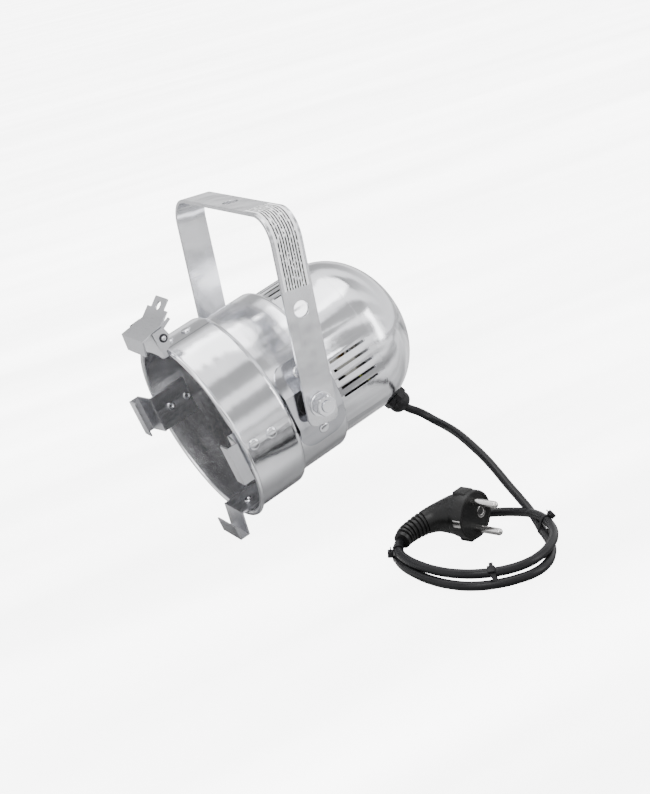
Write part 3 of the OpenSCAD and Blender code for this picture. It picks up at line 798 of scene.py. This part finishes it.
def make_plug_metal():
    pins, contacts = [], []
    earth = PLUG @ Matrix.Translation((0, EARTH_OUT, 0))
    for side in (-1, 1):
        tip = [(PIN_LEN - PIN_R + PIN_R * math.sin(a), PIN_R * math.cos(a)) for a in quarter(8)]
        profile = [(-5, 0), (-5, PIN_R)] + tip + [(PIN_LEN, 0)]
        pins.append(lathe("pin", profile, PLUG @ Matrix.Translation((0, 0, side * PIN_OUT)), 40))
        low, high = sorted((side * (PLUG_R - 1.6), side * (PLUG_R + 0.15)))
        contacts.append(box_mesh("contact", (-6.8, low, -2.4), (-0.7, high, 2.4), PLUG, 0.4))
    contacts.append(lathe("earth", [
        (-1.5, 2.1), (-1.5, EARTH_R), (-0.1, EARTH_R), (0.0, EARTH_R - 0.3), (-0.1, 2.5), (-0.5, 2.1)],
        earth, 40, closed_loop=True))
    place("plug_pins_piece", join("plug_pins", pins), "can", "nickel", [nickel], "plug_pins")
    place("plug_contacts_piece", join("plug_contacts", contacts), "can", "nickel", [nickel],
          "plug_earth_contacts")
    # A thin near-black disc on the plug's face inside the earth ring: painted shade where the hole is
    hole = lathe("hole", [(-0.45, 0), (-0.45, 2.5), (-0.35, 2.5), (-0.35, 0)], earth, 32)
    place("plug_earth_hole_painted_shade", hole, "can", "plug_plastic", [painted_hole_shade])


make_plug()
make_plug_metal()


# ---- Cord ----

def gland_point(distance):
    return GLAND @ Vector((distance, 0, 0))


LOW_Z, HIGH_Z = -223.6, -217.5
LEAD_ROUTE = [
    (28, 98.5, -181), (36, 103.5, -186.5), (48, 105.4, -189.5), (64, 104.5, -191.5),
    (82, 102.5, -195), (101, 100, -199.5), (117, 97.5, -204.5), (132, 95, -210),
    (146, 93, -215), (158, 91, -219.2), (170, 87.5, -222.3), (182, 82.5, LOW_Z),
    (195, 77, LOW_Z), (206, 71.5, LOW_Z), (217, 63, LOW_Z), (225, 53, LOW_Z),
]
LOWER_TURN = [
    (228.3, 42, LOW_Z), (227, 31, LOW_Z), (222, 18.5, LOW_Z), (212.5, 7, LOW_Z),
    (199, -0.8, LOW_Z), (183.5, -5, LOW_Z), (167, -6.2, LOW_Z), (151, -4.9, LOW_Z),
    (137, 0, LOW_Z), (124.8, 9.5, LOW_Z), (117.6, 23, LOW_Z), (115.6, 38, LOW_Z),
    (118, 54, LOW_Z), (125.5, 69, LOW_Z), (136.5, 80.5, -223.3), (150.5, 87, -221.8),
    (165, 88, -219.2),
]
UPPER_TURN = [
    (179.5, 86, -217.4), (193.5, 82, HIGH_Z), (206, 74.8, HIGH_Z), (216, 64, HIGH_Z),
    (222.6, 51.5, HIGH_Z), (224.6, 38.5, HIGH_Z), (221.2, 25, HIGH_Z), (213, 13.2, HIGH_Z),
    (201, 4.6, -217.8), (187, -1, -218), (171.5, -4.2, -217.8), (157.5, -4.8, HIGH_Z),
    (147.5, -3.3, -217.2),
]
TAIL_ROUTE = [(140.2, -0.2, -216.4), (135.6, 5.2, -215), (133.4, 11.8, -213.5), (132.8, 19, -212.3)]


def make_cord():
    points = [gland_point(-9), gland_point(2), gland_point(13)]
    points += [Vector(p) * MM for p in LEAD_ROUTE + LOWER_TURN + UPPER_TURN + TAIL_ROUTE]
    curve = bpy.data.curves.new("mains_lead", "CURVE")
    curve.dimensions = "3D"
    curve.bevel_depth = CORD_R * MM
    curve.bevel_resolution = 6
    curve.resolution_u = 8
    curve.use_fill_caps = True
    spline = curve.splines.new("BEZIER")
    spline.bezier_points.add(len(points) - 1)
    for knot, point in zip(spline.bezier_points, points):
        knot.co = point
        knot.handle_left_type = "AUTO"
        knot.handle_right_type = "AUTO"
    piece = bpy.data.objects.new("mains_lead", curve)
    bpy.context.scene.collection.objects.link(piece)
    curve.materials.append(rubber)
    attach(piece, "can")
    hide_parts("cord_lead", "cord_coil", "cord_tail")


def tie_band(strands, along, lean=0):
    """A thin band round two strands, with its lock at an angle up from the outer side."""
    low, high = (Vector(s) for s in strands)
    along = Vector(along).normalized()
    rise = (high - low).normalized()
    out = along.cross(rise).normalized()
    band_in, band_out, half = CORD_R + 0.05, CORD_R + 0.55, 1.5
    rings = []
    for shift, r in ((-half, band_in), (-half, band_out), (half, band_out), (half, band_in)):
        ring = []
        for k in range(48):
            angle = 2 * math.pi * k / 48
            middle = high if math.sin(angle) > 0 else low
            spot = middle + r * (math.cos(angle) * out + math.sin(angle) * rise)
            ring.append(spot + shift * along)
        rings.append(ring)
    band = ring_mesh("band", rings, Matrix.Scale(MM, 4), closed_loop=True)
    # The lock and the cut end of the strap
    facing = math.cos(lean) * out + math.sin(lean) * rise
    seat = (high if lean else (low + high) / 2) + facing * band_out
    frame_matrix = Matrix((facing, along, facing.cross(along))).transposed().to_4x4()
    matrix = Matrix.Scale(MM, 4) @ Matrix.Translation(seat) @ frame_matrix
    lock = box_mesh("lock", (-0.3, -2.4, -2.1), (3.2, 2.4, 2.1), matrix, 0.5)
    end = box_mesh("end", (0.9, -1.2, 1.8), (1.7, 1.2, 4.4), matrix, 0.2)
    return [band, lock, end]


def make_ties():
    parts = tie_band([(220.5, 18.5, LOW_Z), (217.2, 19.3, HIGH_Z)], (0.6, 0.8, 0), 0.3)
    parts += tie_band([(184.5, 81.8, LOW_Z), (184.8, 84.8, -217.4)], (-0.96, 0.28, 0), 1.0)
    parts += tie_band([(139.5, -1.1, LOW_Z), (141.5, -0.9, -216.6)], (0.86, -0.5, 0))
    place("cable_ties_piece", join("cable_ties", parts), "can", "gland_plastic", [black_nylon],
          "cable_ties")


make_ties()
make_cord()


# ---- Floor, light and surroundings ----

FLOOR_GLOW = 6.5
FLOOR_GREYS = ((0.12, 0.12, 0.12), (0.96, 0.96, 0.96))


def make_floor():
    n = Nodes("pale_floor")
    # Slow grey bands along Y, which the glow all but hides where the floor is seen directly
    cloud = n.noise(n.coords(scale=(1, 0.12, 1)), 0.011, 2, 0.5)
    n.link(n.tint(cloud, *FLOOR_GREYS), n.shader.inputs["Base Color"])
    n.set(Roughness=0.9, Emission_Color=(1, 1, 1, 1))
    # The floor glows only where it is seen directly, so that reflections keep their contrast
    seen = n.add("ShaderNodeLightPath").outputs["Is Camera Ray"]
    n.link(n.maths("MULTIPLY", seen, FLOOR_GLOW), n.shader.inputs["Emission Strength"])
    mesh = bpy.data.meshes.new("floor")
    size = 40
    z = SURFACE * MM
    corners = [(-size, -size, z), (size, -size, z), (size, size, z), (-size, size, z)]
    mesh.from_pydata(corners, [], [(0, 1, 2, 3)])
    floor = bpy.data.objects.new("floor", mesh)
    bpy.context.scene.collection.objects.link(floor)
    mesh.materials.append(n.material)


def area_light(name, at, aim, size, power):
    data = bpy.data.lights.new(name, "AREA")
    data.shape = "RECTANGLE"
    data.size = size[0]
    data.size_y = size[1]
    data.energy = power
    lamp = bpy.data.objects.new(name, data)
    bpy.context.scene.collection.objects.link(lamp)
    direction = Vector(aim) - Vector(at)
    lamp.location = at
    lamp.rotation_euler = direction.to_track_quat("-Z", "Y").to_euler()


# Brightness of the room by angle above the horizontal, from +X round over the top to -X
WORLD_BANDS = [
    (-180, 0.8), (-90, 1.0), (0, 1.0), (8, 0.9), (15, 0.3), (27, 0.35), (31, 1.2), (38, 1.2),
    (43, 0.4), (60, 0.35), (66, 1.2), (80, 1.1), (88, 0.35), (108, 0.3), (114, 1.2), (128, 1.1),
    (138, 0.35), (160, 0.35), (170, 0.8), (180, 0.8),
]
# The bands give way to this even colour as a direction turns from the first of these shares of
# +Y or -Y to the second
ROOM_EVEN = (0.85, 0.85, 0.86, 1)
EVEN_FROM, EVEN_AT = 0.55, 0.95
ROOM_STRENGTH = 2.0


def make_world():
    """A white room whose brightness varies in soft bands round Y, close to the housing's axis."""
    world = bpy.data.worlds.new("studio")
    bpy.context.scene.world = world
    world.use_nodes = True
    tree = world.node_tree
    add, link = tree.nodes.new, tree.links.new
    split = add("ShaderNodeSeparateXYZ")
    link(add("ShaderNodeTexCoord").outputs["Generated"], split.inputs["Vector"])
    angle = add("ShaderNodeMath")
    angle.operation = "ARCTAN2"
    link(split.outputs["Z"], angle.inputs[0])
    link(split.outputs["X"], angle.inputs[1])
    scaled = add("ShaderNodeMapRange")
    put(scaled, From_Min=-math.pi, From_Max=math.pi)
    link(angle.outputs[0], scaled.inputs["Value"])
    ramp = add("ShaderNodeValToRGB")
    ramp.color_ramp.interpolation = "EASE"
    elements = ramp.color_ramp.elements
    elements.remove(elements[-1])
    for i, (degrees, level) in enumerate(WORLD_BANDS):
        element = elements.new((degrees + 180) / 360) if i else elements[0]
        element.color = (level, level, level * 1.01, 1)
    link(scaled.outputs["Result"], ramp.inputs["Fac"])
    # Even near +Y and -Y, where the bands would run to a point, and where the room is seen directly
    steep = add("ShaderNodeMath")
    steep.operation = "ABSOLUTE"
    link(split.outputs["Y"], steep.inputs[0])
    fade = add("ShaderNodeMapRange")
    put(fade, From_Min=EVEN_FROM, From_Max=EVEN_AT)
    link(steep.outputs[0], fade.inputs["Value"])
    either = add("ShaderNodeMath")
    either.operation = "MAXIMUM"
    link(fade.outputs["Result"], either.inputs[0])
    link(add("ShaderNodeLightPath").outputs["Is Camera Ray"], either.inputs[1])
    mix = add("ShaderNodeMix")
    mix.data_type = "RGBA"
    link(either.outputs[0], mix.inputs["Factor"])
    link(ramp.outputs["Color"], mix.inputs[6])
    mix.inputs[7].default_value = ROOM_EVEN
    back = tree.nodes["Background"]
    put(back, Strength=ROOM_STRENGTH)
    link(mix.outputs[2], back.inputs["Color"])


make_floor()
make_world()
area_light("key", (0.9, -0.9, 1.2), (0, 0, -0.13), (0.9, 0.9), 16)
area_light("top", (-0.2, 0.2, 1.5), (0, 0, -0.13), (1.4, 0.8), 16)
area_light("side", (1.0, 1.0, 0.3), (0, 0, -0.13), (0.4, 1.0), 6)
